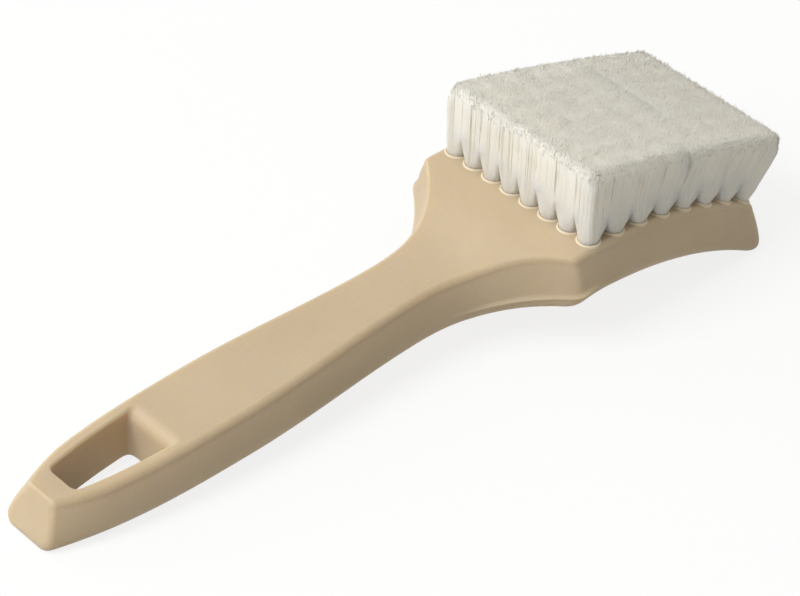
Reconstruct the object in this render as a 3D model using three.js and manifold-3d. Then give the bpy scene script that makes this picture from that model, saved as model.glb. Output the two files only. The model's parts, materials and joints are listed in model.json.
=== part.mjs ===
// A hand brush for washing tyres: a moulded handle block with a hanging slot and an arched head,
// tufts of nylon bristle that fan out of the head, and the flat wire anchors that hold the tufts.
// Lengths are in millimetres and angles in degrees. X runs from the tail to the nose, Y to the left
// and Z up out of the bristle side, with z = 0 on the flat top of the handle.

import * as THREE from 'three';
import { mergeGeometries, mergeVertices } from 'three/addons/utils/BufferGeometryUtils.js';
import Module from 'manifold-3d';

// Handle
const handleLength = 150.7; // from the foot of the tail to the wing corners of the head
const handleThickness = 13; // where the underside meets the head
const tailThickness = 11.5;
const tailWidth = 12;
const tailSlope = 29; // lean of the end facet from upright
const tailRounding = 1.8; // of its upper edge and its sides
const tailUnderRounding = 2.4;
const gripWidth = 23.2; // at the widest place of the grip
const gripFromTail = 58.2;
const neckWidth = 17.8;
const neckToWings = 35.5;
const sideDraft = 2.4; // by which the outline grows towards the underside
const topEdgeRadius = 2;
const underEdgeRadius = 2.8;

// Head
const headLength = 68.5; // from the wing corners to the foot of the nose
const headWidth = 55.2;
const headThickness = 13;
const headRise = 4; // crest of the arch above the handle's top
const archRadius = 130;
const crestToWings = 1.5;
const flareAngle = 55; // slope of the shoulders in plan, at the wing corners
const wingRounding = 3.2;
const topBlendLength = 23; // where the handle's top climbs to the crest
const underBlendLength = 32; // where the handle's underside runs into the arch
const underBlendPastWings = 9.5;
const noseSlope = 8; // lean of the nose, which overhangs below
const noseRounding = 2.6; // of its upper edge and its sides
const noseUnderRounding = 5;

// Hanging slot
const slotFromTail = 13.1;
const slotLength = 27;
const slotWall = 4; // left on either side of the slot, at the top
const slotSideSlope = 3; // lean of the slot's sides, which close in below
const slotEndSlope = 6; // lean of the slot's head-side end
const slotCornerRadius = 2.2;

// Tufts
const tuftRows = 8;
const tuftsPerRow = 8;
const tuftDiameter = 4.3;
const columnFromSide = 3.94; // from the outer columns to the sides of the head, at the top
const firstRowFromWings = 8;
const lastRowFromNose = 5.3;
const frontLean = -4; // lean of the first row, towards the tail
const backLean = 38; // lean of the last row, towards the nose
const frontLength = 21.5; // free length of the first row
const middleLength = 18;
const backLength = 19;
const tuftSpreadAlong = 2; // width of a tuft at its tips, in widths at its root
const tuftSpreadAcross = 1.5;
const strandSides = 4;
const strandDiameter = 1.3; // over the corners
const strandsInRing = 6; // round one in the middle

// Face strips, which carry two rows of tufts each
const rowsPerStrip = 2;
const stripThickness = 3;

// Anchors of flat wire, one under each column of a strip's tufts
const anchorThickness = 0.5;
const anchorHeight = 2.2;
const anchorOverhang = 0.6; // past the tufts at either end

// Gap left between separate pieces
const clearance = 0.3;

// Places along the brush that follow from the sizes above
const radians = THREE.MathUtils.degToRad;
const noseX = handleLength + headLength;
const neckX = handleLength - neckToWings;
const crestX = handleLength - crestToWings;
const archCentreZ = headRise - archRadius;
const underRadius = archRadius - headThickness;
const underBlendEnd = handleLength + underBlendPastWings;
const underBlendStart = underBlendEnd - underBlendLength;
const underTaper = (tailThickness - handleThickness) / underBlendStart;
const tailLeanLength = tailThickness * Math.tan(radians(tailSlope));
const noseLeanLength = headThickness * Math.tan(radians(noseSlope));

const wasm = await Module();
wasm.setup();

function toSolid(geometry) {
  const bare = geometry.clone();
  bare.deleteAttribute('normal');
  bare.deleteAttribute('uv');
  const merged = mergeVertices(bare, 1e-5);
  const mesh = new wasm.Mesh({
    numProp: 3,
    vertProperties: merged.attributes.position.array,
    triVerts: new Uint32Array(merged.index.array),
  });
  return new wasm.Manifold(mesh);
}

function toGeometry(solid) {
  const mesh = solid.getMesh();
  const geometry = new THREE.BufferGeometry();
  geometry.setAttribute('position', new THREE.BufferAttribute(mesh.vertProperties, 3));
  geometry.setIndex(new THREE.BufferAttribute(mesh.triVerts, 1));
  geometry.computeVertexNormals();
  return geometry;
}

// Height of an arc about the arch's centre, above a place along the brush
function arcHeight(radius, x) {
  return archCentreZ + Math.sqrt(radius * radius - (x - crestX) ** 2);
}

function arcPoint(radius, angle) {
  return new THREE.Vector2(crestX + radius * Math.sin(angle), archCentreZ + radius * Math.cos(angle));
}

// Value of a curve that runs along X, at a given x
function curveAt(curve, x) {
  let low = 0;
  let high = 1;
  for (let step = 0; step < 40; step += 1) {
    const middle = (low + high) / 2;
    if (curve.getPoint(middle).x < x) low = middle;
    else high = middle;
  }
  return curve.getPoint(low).y;
}

function bezier(...points) {
  return new THREE.CubicBezierCurve(...points.map(([x, y]) => new THREE.Vector2(x, y)));
}

// Half of the block's plan outline
const flare = new THREE.Vector2(Math.cos(radians(flareAngle)), Math.sin(radians(flareAngle)));
const flareHandle = (headWidth - neckWidth) * 0.45;
const gripCurve = bezier(
  [0, tailWidth / 2],
  [gripFromTail * 0.32, tailWidth / 2 + (gripWidth - tailWidth) * 0.4],
  [gripFromTail * 0.6, gripWidth / 2],
  [gripFromTail, gripWidth / 2],
);
const neckCurve = bezier(
  [gripFromTail, gripWidth / 2],
  [THREE.MathUtils.lerp(gripFromTail, neckX, 0.35), gripWidth / 2],
  [THREE.MathUtils.lerp(gripFromTail, neckX, 0.67), neckWidth / 2],
  [neckX, neckWidth / 2],
);
const flareCurve = bezier(
  [neckX, neckWidth / 2],
  [neckX + neckToWings * 0.46, neckWidth / 2],
  [handleLength - flareHandle * flare.x, headWidth / 2 - flareHandle * flare.y],
  [handleLength, headWidth / 2],
);
const wingStart = handleLength - wingRounding * flare.x;
const wingEnd = handleLength + wingRounding;
const wingCurve = new THREE.QuadraticBezierCurve(
  new THREE.Vector2(wingStart, curveAt(flareCurve, wingStart)),
  new THREE.Vector2(handleLength, headWidth / 2),
  new THREE.Vector2(wingEnd, headWidth / 2),
);

function topHalfWidth(x) {
  if (x < gripFromTail) return curveAt(gripCurve, Math.max(x, 0));
  if (x < neckX) return curveAt(neckCurve, x);
  if (x < wingStart) return curveAt(flareCurve, x);
  if (x < wingEnd) return curveAt(wingCurve, x);
  return headWidth / 2;
}

// The underside follows the same outline, grown all round by the draft
function underHalfWidth(x) {
  const widths = [];
  for (let angle = -90; angle <= 90; angle += 15) {
    const place = x + sideDraft * Math.sin(radians(angle));
    widths.push(topHalfWidth(place) + sideDraft * Math.cos(radians(angle)));
  }
  return Math.max(...widths);
}

// Side profile of the block
const topCurve = bezier(
  [crestX - topBlendLength, 0],
  [crestX - topBlendLength * 0.48, 0],
  [crestX - topBlendLength * 0.38, headRise],
  [crestX, headRise],
);
const underSlope = -(underBlendEnd - crestX) / underRadius;
const underLead = underBlendLength * 0.44;
const underReach = underBlendLength * 0.38;
const underCurve = bezier(
  [underBlendStart, -handleThickness],
  [underBlendStart + underLead, underLead * underTaper - handleThickness],
  [underBlendEnd - underReach, arcHeight(underRadius, underBlendEnd) - underReach * underSlope],
  [underBlendEnd, arcHeight(underRadius, underBlendEnd)],
);

function topHeight(x) {
  if (x < crestX - topBlendLength) return 0;
  if (x < crestX) return curveAt(topCurve, x);
  return arcHeight(archRadius, x);
}

function underHeight(x) {
  if (x < underBlendStart) return x * underTaper - tailThickness;
  if (x < underBlendEnd) return curveAt(underCurve, x);
  return arcHeight(underRadius, x);
}

// A section of the block is a rounded rectangle in a plane that stands on the underside at x. The
// planes lean with the facet at the tail and with the nose, and stand upright in between.
const tailLeanReach = 3 * tailLeanLength;
const noseLeanReach = 5 * noseLeanLength;

function topShift(x) {
  const tailShare = Math.max(0, 1 - x / tailLeanReach);
  const noseShare = Math.max(0, 1 - (noseX - x) / noseLeanReach);
  return tailLeanLength * tailShare - noseLeanLength * noseShare;
}

const cornerSteps = 2;

function sectionRing(x, inset = 0, underInset = inset) {
  const foot = new THREE.Vector2(x, underHeight(x));
  const head = new THREE.Vector2(x + topShift(x), topHeight(x + topShift(x)));
  const height = foot.distanceTo(head);
  const low = underInset;
  const high = height - inset;
  const topHalf = topHalfWidth(x) - inset;
  const underHalf = underHalfWidth(x) - inset;
  const topRadius = Math.min(topEdgeRadius, (high - low) * 0.4, topHalf * 0.4);
  const underRound = Math.min(underEdgeRadius, (high - low) * 0.4, underHalf * 0.4);
  const corners = [
    [underHalf - underRound, low + underRound, underRound, -90],
    [topHalf - topRadius, high - topRadius, topRadius, 0],
    [topRadius - topHalf, high - topRadius, topRadius, 90],
    [underRound - underHalf, low + underRound, underRound, 180],
  ];
  const ring = [];
  for (const [across, up, radius, start] of corners) {
    for (let step = 0; step <= cornerSteps; step += 1) {
      const angle = radians(start + (90 * step) / cornerSteps);
      const share = (up + radius * Math.sin(angle)) / height;
      const place = foot.clone().lerp(head, share);
      ring.push(new THREE.Vector3(place.x, across + radius * Math.cos(angle), place.y));
    }
  }
  return ring;
}

// A closed body over rings with the same number of points, capped by fans
function loft(rings) {
  const count = rings[0].length;
  const last = (rings.length - 1) * count;
  const indices = [];
  for (let ring = 0; ring < rings.length - 1; ring += 1) {
    for (let side = 0; side < count; side += 1) {
      const a = ring * count + side;
      const b = ring * count + ((side + 1) % count);
      indices.push(a, b, a + count, b, b + count, a + count);
    }
  }
  for (let side = 1; side < count - 1; side += 1) {
    indices.push(0, side + 1, side);
    indices.push(last, last + side, last + side + 1);
  }
  const geometry = new THREE.BufferGeometry().setFromPoints(rings.flat());
  geometry.setIndex(indices);
  return geometry;
}

function evenSteps(from, to, count) {
  return Array.from({ length: count }, (_, step) => THREE.MathUtils.lerp(from, to, step / count));
}

// Sections that round off an end of the block, from its tip inwards
function endRings(tipX, towards, rounding, underRounding) {
  const shares = [0, 0.3, 1];
  return shares.map((share) => {
    const remaining = (1 - share) ** 2;
    const x = tipX + towards * share * underRounding;
    return sectionRing(x, remaining * rounding, remaining * underRounding);
  });
}

function blockBody() {
  const stations = [
    ...evenSteps(tailUnderRounding * 2, gripFromTail, 7),
    ...evenSteps(gripFromTail, neckX, 6),
    ...evenSteps(neckX, wingStart - sideDraft, 9),
    ...evenSteps(wingStart - sideDraft, wingStart, 3),
    ...evenSteps(wingStart, wingEnd, 3),
    ...evenSteps(wingEnd, noseX - noseUnderRounding, 14),
  ];
  return toSolid(loft([
    ...endRings(0, 1, tailRounding, tailUnderRounding),
    ...stations.map((x) => sectionRing(x)),
    ...endRings(noseX, -1, noseRounding, noseUnderRounding).reverse(),
  ]));
}

// The hanging slot keeps the same wall along the handle's outline and widens towards the head.
// Its sides and its head-side end close in from the top of the handle to the underside.
function slotCutter() {
  const slotEnd = slotFromTail + slotLength;
  const middleX = (slotFromTail + slotEnd) / 2;
  const startHalf = topHalfWidth(slotFromTail) - slotWall;
  const middleHalf = topHalfWidth(middleX) - slotWall;
  const endHalf = topHalfWidth(slotEnd) - slotWall;
  const corner = Math.min(slotCornerRadius, startHalf * 0.4, slotLength * 0.3);
  const outline = new THREE.Shape();
  outline.moveTo(slotFromTail + corner, -startHalf);
  outline.lineTo(middleX, -middleHalf);
  outline.lineTo(slotEnd - corner, -endHalf);
  outline.quadraticCurveTo(slotEnd, -endHalf, slotEnd, corner - endHalf);
  outline.lineTo(slotEnd, endHalf - corner);
  outline.quadraticCurveTo(slotEnd, endHalf, slotEnd - corner, endHalf);
  outline.lineTo(middleX, middleHalf);
  outline.lineTo(slotFromTail + corner, startHalf);
  outline.quadraticCurveTo(slotFromTail, startHalf, slotFromTail, startHalf - corner);
  outline.lineTo(slotFromTail, corner - startHalf);
  outline.quadraticCurveTo(slotFromTail, -startHalf, slotFromTail + corner, -startHalf);
  const plan = outline.getPoints(3).slice(0, -1);
  const ringAt = (z, depth) => plan.map((point) => {
    const narrowing = Math.min(depth * Math.tan(radians(slotSideSlope)), startHalf * 0.5);
    const endShare = (point.x - slotFromTail) / slotLength;
    const x = point.x - endShare * depth * Math.tan(radians(slotEndSlope));
    return new THREE.Vector3(x, point.y * (1 - narrowing / startHalf), z);
  });
  const past = handleThickness / 2;
  return toSolid(loft([
    ringAt(-handleThickness - past, handleThickness),
    ringAt(-handleThickness, handleThickness),
    ringAt(0, 0),
    ringAt(past, 0),
  ]));
}

// Rows of tufts lie at even angles round the arch
const firstRowAngle = Math.asin((handleLength + firstRowFromWings - crestX) / archRadius);
const lastRowAngle = Math.asin((noseX - lastRowFromNose - crestX) / archRadius);
const rowStep = (lastRowAngle - firstRowAngle) / (tuftRows - 1);
const gapAngle = clearance / archRadius;
const rowAngle = (row) => firstRowAngle + row * rowStep;

// A sector of the arch between two radii and two angles, wider than the head
function archSector(inner, outer, from, to) {
  const profile = new THREE.Shape();
  const steps = Math.max(2, Math.ceil((to - from) / (rowStep / 2)));
  for (let step = 0; step <= steps; step += 1) {
    const point = arcPoint(inner, THREE.MathUtils.lerp(from, to, step / steps));
    if (step === 0) profile.moveTo(point.x, point.y);
    else profile.lineTo(point.x, point.y);
  }
  const outerTo = arcPoint(outer, to);
  const outerFrom = arcPoint(outer, from);
  profile.lineTo(outerTo.x, outerTo.y);
  profile.lineTo(outerFrom.x, outerFrom.y);
  const width = headWidth * 1.5;
  const geometry = new THREE.ExtrudeGeometry(profile, { depth: width, bevelEnabled: false });
  geometry.rotateX(Math.PI / 2);
  geometry.translate(0, width / 2, 0);
  return toSolid(geometry);
}

const stripBottom = archRadius - stripThickness;
const seatRadius = stripBottom - clearance;
const aboveHead = archRadius + headThickness;
const pastNose = lastRowAngle + 2 * rowStep + lastRowFromNose / archRadius;
const frontWall = firstRowAngle - rowStep / 2;

// One strand of bristle from its root to its tip
const strandOutline = new THREE.Shape();
for (let side = 0; side < strandSides; side += 1) {
  const angle = (2 * Math.PI * side) / strandSides;
  const x = (strandDiameter / 2) * Math.cos(angle);
  const y = (strandDiameter / 2) * Math.sin(angle);
  if (side === 0) strandOutline.moveTo(x, y);
  else strandOutline.lineTo(x, y);
}

function strand(root, tip) {
  const along = tip.clone().sub(root);
  const geometry = new THREE.ExtrudeGeometry(strandOutline, { depth: along.length(), bevelEnabled: false });
  const turn = new THREE.Quaternion().setFromUnitVectors(new THREE.Vector3(0, 0, 1), along.normalize());
  geometry.applyQuaternion(turn);
  geometry.translate(root.x, root.y, root.z);
  return geometry;
}

function tuftStrands(row, y) {
  const share = row / (tuftRows - 1);
  const lean = radians(THREE.MathUtils.lerp(frontLean, backLean, share));
  const evenLength = THREE.MathUtils.lerp(frontLength, backLength, share);
  const middleDip = middleLength - (frontLength + backLength) / 2;
  const freeLength = evenLength + 4 * share * (1 - share) * middleDip;
  const rootDepth = stripThickness * 0.7;
  const ringRadius = (tuftDiameter - strandDiameter) / 2;
  const place = arcPoint(archRadius, rowAngle(row));
  const middle = new THREE.Vector3(place.x, y, place.y);
  const up = new THREE.Vector3(Math.sin(lean), 0, Math.cos(lean));
  const forward = new THREE.Vector3(Math.cos(lean), 0, -Math.sin(lean));
  const left = new THREE.Vector3(0, 1, 0);
  const pointAt = (along, across, height) => {
    const point = middle.clone().addScaledVector(forward, along);
    return point.addScaledVector(left, across).addScaledVector(up, height);
  };
  const strands = [strand(pointAt(0, 0, -rootDepth), pointAt(0, 0, freeLength))];
  for (let turn = 0; turn < strandsInRing; turn += 1) {
    const angle = (2 * Math.PI * turn) / strandsInRing;
    const along = ringRadius * Math.cos(angle);
    const across = ringRadius * Math.sin(angle);
    const tip = pointAt(along * tuftSpreadAlong, across * tuftSpreadAcross, freeLength);
    strands.push(strand(pointAt(along, across, -rootDepth), tip));
  }
  return strands;
}

const tuftPitch = (headWidth - 2 * columnFromSide) / (tuftsPerRow - 1);
const tuftY = (place) => (place - (tuftsPerRow - 1) / 2) * tuftPitch;

// A strip of the head's face with its rows of strands
function bristleStrip(body, firstRow) {
  const lastRow = Math.min(firstRow + rowsPerStrip, tuftRows) - 1;
  const from = rowAngle(firstRow) - rowStep / 2 + gapAngle / 2;
  const to = lastRow === tuftRows - 1 ? pastNose : rowAngle(lastRow) + rowStep / 2 - gapAngle / 2;
  const strip = body.intersect(archSector(stripBottom, aboveHead, from, to));
  const strands = [];
  for (let row = firstRow; row <= lastRow; row += 1) {
    for (let place = 0; place < tuftsPerRow; place += 1) strands.push(...tuftStrands(row, tuftY(place)));
  }
  return strip.add(toSolid(mergeGeometries(strands)));
}

// A piece of flat wire that lies under one column of a strip's tufts, grown by a gap for its seat
function anchorWire(firstRow, place, gap) {
  const lastRow = Math.min(firstRow + rowsPerStrip, tuftRows) - 1;
  const angle = (rowAngle(firstRow) + rowAngle(lastRow)) / 2;
  const span = 2 * seatRadius * Math.sin((rowAngle(lastRow) - rowAngle(firstRow)) / 2);
  const length = span + tuftDiameter + 2 * anchorOverhang;
  const top = Math.sqrt(seatRadius ** 2 - (length / 2) ** 2);
  const upper = gap > 0 ? seatRadius + gap : top;
  const lower = top - anchorHeight - gap;
  const geometry = new THREE.BoxGeometry(length + 2 * gap, anchorThickness + 2 * gap, upper - lower);
  const middle = arcPoint((upper + lower) / 2, angle);
  geometry.rotateY(angle);
  geometry.translate(middle.x, tuftY(place), middle.y);
  return geometry;
}

const anchorPlaces = [];
for (let row = 0; row < tuftRows; row += rowsPerStrip) {
  for (let place = 0; place < tuftsPerRow; place += 1) anchorPlaces.push([row, place]);
}

// Materials
const handlePlastic = new THREE.MeshStandardMaterial({ color: '#d3bd97', roughness: 0.55, metalness: 0 });
const bristleNylon = new THREE.MeshStandardMaterial({ color: '#e2ded2', roughness: 0.45, metalness: 0 });
const anchorSteel = new THREE.MeshStandardMaterial({ color: '#b9bbbd', roughness: 0.35, metalness: 1 });

const brush = new THREE.Group();

function addPiece(name, geometry, material) {
  const mesh = new THREE.Mesh(geometry, material);
  mesh.name = name;
  brush.add(mesh);
}

const body = blockBody().subtract(slotCutter());
const seats = mergeGeometries(anchorPlaces.map(([row, place]) => anchorWire(row, place, clearance)));
const recess = archSector(seatRadius, aboveHead, frontWall - gapAngle / 2, pastNose);
const blockGeometry = toGeometry(body.subtract(recess).subtract(toSolid(seats)));
addPiece('handle_block', blockGeometry, handlePlastic);

const rowsName = (row) => `rows_${row + 1}_${Math.min(row + rowsPerStrip, tuftRows)}`;

for (let row = 0; row < tuftRows; row += rowsPerStrip) {
  addPiece(`bristle_${rowsName(row)}`, toGeometry(bristleStrip(body, row)), bristleNylon);
}

for (const [row, place] of anchorPlaces) {
  addPiece(`anchor_${rowsName(row)}_column_${place + 1}`, anchorWire(row, place, 0), anchorSteel);
}

// The brush lies on its back, on the tail's and the nose's lower edges
function restAngle(positions) {
  let angle = 0;
  for (let pass = 0; pass < 6; pass += 1) {
    const lowest = [null, null];
    for (let index = 0; index < positions.count; index += 1) {
      const x = positions.getX(index);
      const z = positions.getZ(index);
      const height = x * Math.sin(angle) + z * Math.cos(angle);
      const end = x < handleLength ? 0 : 1;
      if (lowest[end] === null || height < lowest[end].height) lowest[end] = { x, z, height };
    }
    angle = Math.atan2(lowest[0].z - lowest[1].z, lowest[1].x - lowest[0].x);
  }
  return angle;
}

brush.rotation.y = -restAngle(blockGeometry.attributes.position);
brush.updateMatrixWorld(true);
const box = new THREE.Box3().setFromObject(brush, true);
const centre = box.getCenter(new THREE.Vector3());
brush.position.set(-centre.x, -centre.y, -box.min.z);

export default brush;
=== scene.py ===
# The looks of a hand brush for washing tyres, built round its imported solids.
# Shapes are worked out in millimetres and degrees in the brush's own frame: X runs from the tail to
# the nose, Y to the left and Z up out of the bristle side, with z = 0 on the flat top of the handle.
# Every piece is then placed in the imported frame, in metres.

import json
import math

import bpy
import numpy as np
from mathutils import Matrix, Vector


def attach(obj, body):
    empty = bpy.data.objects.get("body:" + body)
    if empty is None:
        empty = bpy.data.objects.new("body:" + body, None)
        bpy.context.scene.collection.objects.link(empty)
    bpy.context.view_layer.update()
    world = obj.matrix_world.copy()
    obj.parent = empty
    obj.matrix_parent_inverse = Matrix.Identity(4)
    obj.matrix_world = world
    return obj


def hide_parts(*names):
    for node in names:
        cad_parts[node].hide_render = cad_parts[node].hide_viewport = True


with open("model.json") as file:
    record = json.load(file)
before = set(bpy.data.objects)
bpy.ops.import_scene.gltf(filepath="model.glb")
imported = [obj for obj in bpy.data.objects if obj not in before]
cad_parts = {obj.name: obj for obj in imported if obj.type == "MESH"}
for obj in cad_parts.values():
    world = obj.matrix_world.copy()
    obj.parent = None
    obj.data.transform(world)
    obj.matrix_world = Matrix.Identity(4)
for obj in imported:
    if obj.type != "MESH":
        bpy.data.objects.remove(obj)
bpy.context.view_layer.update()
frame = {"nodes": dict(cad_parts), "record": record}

MM = 0.001
BODY = "root"
SEED = 7

# Camera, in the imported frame
CAMERA_TARGET = (-1.5, -4.4, 19.3)
CAMERA_DISTANCE = 802.2
CAMERA_AZIMUTH = -45.04  # 0 looks along +Y and 90 along -X
CAMERA_ELEVATION = 37.8
CAMERA_ROLL = 4.34
CAMERA_LENS = 148.5
CAMERA_SENSOR = 36

# Light
KEY_FROM = (-0.65, 0.2, 0.73)  # direction from the brush, as for the rim light
KEY_POWER = 44
KEY_SIZE = 1400
KEY_COLOUR = (0.98, 0.99, 1)
RIM_LIGHT_FROM = (-0.28, 0.92, 0.3)
RIM_LIGHT_POWER = 19
RIM_LIGHT_SIZE = 1800
RIM_LIGHT_COLOUR = (1, 0.99, 0.95)
LIGHT_DISTANCE = 2400
SKY_STRENGTH = 0.38
SKY_COLOUR = (1, 0.98, 0.9)
FLOOR_SIZE = 6000
FLOOR_ALBEDO = 0.6
FLOOR_SHADOW_SHARE = 0.18  # of the floor's white that the object's shadow can take away

# Handle
HANDLE_LENGTH = 150.7  # from the foot of the tail to the wing corners of the head
HANDLE_THICKNESS = 13  # where the underside meets the head
TAIL_THICKNESS = 11.5
TAIL_WIDTH = 9.8
TAIL_SLOPE = 29  # lean of the end facet from upright
TAIL_INSET = 0.9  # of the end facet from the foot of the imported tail
TAIL_ROUNDING = {"side": 1.5, "top": 0.7, "under": 2.5}  # radii of the edges round the end facet
GRIP_WIDTH = 23.9
GRIP_FROM_TAIL = 58.2
NECK_WIDTH = 17.8
NECK_TO_WINGS = 35.5
SIDE_DRAFT = 2.4  # by which the outline grows towards the underside
TOP_EDGE_RADIUS = 1.9
UNDER_EDGE_RADIUS = 2.8
EDGE_RADIUS_LIMIT = 0.4  # share of a wall or a half width that an edge's rounding takes at most
WALL_FULLNESS = 0.4  # by which the sides bulge at half their height
BEAD = 0.9  # by which a bead along the foot of the wall stands out, from the neck to the wing corners
BEAD_PLACE = 0.11  # share of the wall's height at the middle of the bead
BEAD_SPREAD = 0.055  # in shares of the wall's height
BEAD_FROM_TAIL = 120
BEAD_BLEND = 24  # length in which it rises
BEAD_END = 9  # length past the wing corners in which it dies out

# Head
HEAD_LENGTH = 68.5  # from the wing corners to the foot of the nose
HEAD_WIDTH = 55.2
HEAD_THICKNESS = 13
HEAD_RISE = 4  # crest of the arch above the handle's top
ARCH_RADIUS = 130
CREST_TO_WINGS = 1.5
FLARE_ANGLE = 55  # slope of the shoulders in plan, at the wing corners
WING_ROUNDING = 1.3
TOP_BLEND_LENGTH = 23  # in which the handle's top rises to the crest
UNDER_BLEND_LENGTH = 32  # in which the underside turns from the handle to the arch
UNDER_BLEND_PAST_WINGS = 9.5
NOSE_SLOPE = 8  # lean of the nose, which overhangs below
NOSE_ROUNDING = {"side": 4, "top": 2.6, "under": 7}  # radii of the edges round the nose's face

# Where the inner control points of the block's curves lie, in shares of each curve's length
GRIP_CURVE_START = 0.32
GRIP_CURVE_SWELL = 0.46  # share of the extra width of the grip, at that point
GRIP_CURVE_END = 0.6
NECK_CURVE_START = 0.35
NECK_CURVE_END = 0.67
SHOULDER_CURVE_START = 0.46
SHOULDER_CURVE_END = 0.45  # share of the extra width of the head, back from the wing corners
TOP_CURVE_START = 0.48  # back from the crest, as the next one is
TOP_CURVE_END = 0.38
UNDER_CURVE_START = 0.44
UNDER_CURVE_END = 0.38  # back from the end

# Hanging slot
SLOT_FROM_TAIL = 13.1
SLOT_LENGTH = 26
SLOT_WALL = 3.9  # left on either side of the slot, at the top
SLOT_SIDE_SLOPE = 6  # lean of the slot's sides, which close in below
SLOT_HEAD_SLOPE = 8
SLOT_TAIL_SLOPE = 4
SLOT_TAIL_CORNERS = (1.8, 2.6)  # at the top and at the underside
SLOT_HEAD_CORNERS = (1, 4.2)
SLOT_SIDE_RIM = 0.8  # radius of the slot's rounded rims
SLOT_HEAD_RIM = 3.2
SLOT_TAIL_RIM = 0.3
SLOT_UNDER_RIM = 0.3
SLOT_OVERRUN = 1.6  # of the slot's cutter past the top and the underside

# Tufts
TUFT_ROWS = 8
TUFTS_PER_ROW = 8
TUFT_DIAMETER = 5.25
COLUMN_FROM_SIDE = 3.94  # middles of the outer tufts from the head's sides
FIRST_ROW_FROM_WINGS = 8
LAST_ROW_FROM_NOSE = 5.3
FRONT_LEAN = 3  # lean of the first row, towards the nose
BACK_LEAN = 40
FRONT_LENGTH = 21.5  # free length of the first row
MIDDLE_LENGTH = 17
BACK_LENGTH = 19.1
BACK_BOW = 1.5  # by which the middle of the last row reaches past its ends
BOW_POWER = 3  # keeps the bow to the last rows
EDGE_REACH = 1.9  # of the outer tufts' tips past their middles, where they have no neighbour
EDGE_DROP = 2.4  # by which the outermost tips are shorter
PARTINGS = {4: (3, 4, 5, 6), 3: (0,)}  # columns in which a row's tips part from the next row's, from 0
PARTED_REACH = 0.455  # of the tips towards a parting, in rows: 0.5 is half way to the next one
PARTED_DROP = 0.35  # by which the tips are shorter at a parting
ROWS_PER_PIECE = 2
TIP_SQUARENESS = 0.98  # 0 keeps a tuft round up to its tips, and 1 makes it fill its cell
SPREAD_END = 0.4  # share of the free length at which the tufts have spread out
CORE_FILL = 1.05  # by which neighbouring tufts run into each other at the tips
CORE_SIDES = 32  # of the dense middle of a tuft
CORE_HEIGHTS = (-0.2, 0, 0.1, 0.2, 0.3, 0.4, 0.5, 0.7, 0.85, 0.978)  # of the rings round its sides
CORE_TOP = 0.985  # in shares of the free length, as all heights of a tuft are
CORE_TOP_WIDTHS = (0.985, 0.8, 0.6, 0.3)  # of the rings on its top
OUTER_SHELL_FILAMENTS = 60  # round each tuft at the edge of the brush
INNER_SHELL_FILAMENTS = 24
SHELL_JITTER = 0.3  # share of their spacing by which they stray from even places
FREE_SIDE_REACH = 0.3  # share of the tuft's radius past which one of them is on its free side
SHELL_DEPTH = 0.03  # share of the tuft's radius by which they are sunk in its dense middle
SHELL_HEIGHTS = (-0.1, 0, 0.2, 0.4, 0.8, 1)  # in shares of the free length
HIDDEN_SHELL_HEIGHTS = (-0.1, 0, 0.2, 0.4, 0.5)  # where the tuft runs into a neighbour
CROWN_FILAMENTS = 300  # that show at the tips of each tuft
CROWN_HEIGHTS = (0.93, 0.97, 1)
FILAMENT_DIAMETER = 0.26
FILAMENT_SIDES = 4
FILAMENT_WAVER = 0.14  # spread of the tips' places
TIP_TAPER = 0.6  # width of a tip, in widths of the filament
TIP_UNEVENNESS = 0.22  # spread of the tips' heights
RISE_POWER = 4  # keeps the unevenness to the tips
STRAY_SHARE = 0.05  # of the filaments, which stand a little taller
STRAY_RISE = 0.5

# Holes with raised rims
HOLE_DIAMETER = 5.35
HOLE_DEPTH = 6
HOLE_SIDES = 32
# Places on a rim, out from the edge of its hole and up from the head's face
RIM_PROFILE = ((-1, -1), (-0.05, 0.15), (0.1, 0.32), (0.28, 0.3), (0.48, 0.14), (0.65, -0.15), (0.65, -1))

# Fineness of the block's mesh
STATION_STEP = 1
FINE_STATION_STEP = 0.4  # round the wing corners
FINE_BEFORE_WINGS = 3  # in roundings of the wing corners
FINE_PAST_WINGS = 2
DRAFT_STEP = 5  # in degrees, where the outline is grown by the draft
CORNER_STEPS = 8
WALL_STEPS = 20
WALL_CROWDING = 1.5  # above 1, crowds a wall's points towards its foot
SLOT_SIDE_STEPS = 12
END_STEPS = 8
CURVE_SAMPLES = 300
CAP_MARGIN = 0.4  # by which an end's flat cap is smaller than the facet round it
SHARP_ANGLE = 32  # between faces, from which an edge shows as sharp

# Materials
PLASTIC_COLOURS = ((0.575, 0.452, 0.302), (0.61, 0.483, 0.327))  # dull and bright, as in each pair
PLASTIC_GLOW = 0.4  # share of the light that soaks into the plastic
PLASTIC_SOAK = (1, 0.7, 0.16)  # how far red, green and blue soak in, compared with each other
PLASTIC_SOAK_DEPTH = 7
RIM_HIGHLIGHT_COLOURS = ((0.72, 0.6, 0.43), (0.77, 0.65, 0.48))  # of the rims round the tufts: lighter than the block, a painted highlight for the light that the raised rims catch
SPECKLE_TONE = 0.96  # of the darkest specks in the plastic, where 1 is plain
SIDE_COLOURS = ((0.85, 0.825, 0.77), (0.91, 0.89, 0.835))
SIDE_CLEARNESS = 0.5  # share of the light that a filament lets through
TIP_COLOURS = ((0.85, 0.83, 0.775), (0.91, 0.89, 0.835))
TIP_CLEARNESS = 0.3
CORE_COLOURS = ((0.88, 0.845, 0.77), (0.92, 0.89, 0.82))
CORE_SOAK = (1, 0.95, 0.85)
CORE_SOAK_DEPTH = 9
STEEL_COLOURS = ((0.5, 0.51, 0.52), (0.63, 0.64, 0.65))
STEEL_STRETCH = (1, 20, 20)  # draws the steel's noise out into lines
NOISE_SPAN = (0.3, 0.7)  # where most of a noise's values lie
CLOUD_SPAN = (0.35, 0.65)
FULL_SPAN = (0, 1)

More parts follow.
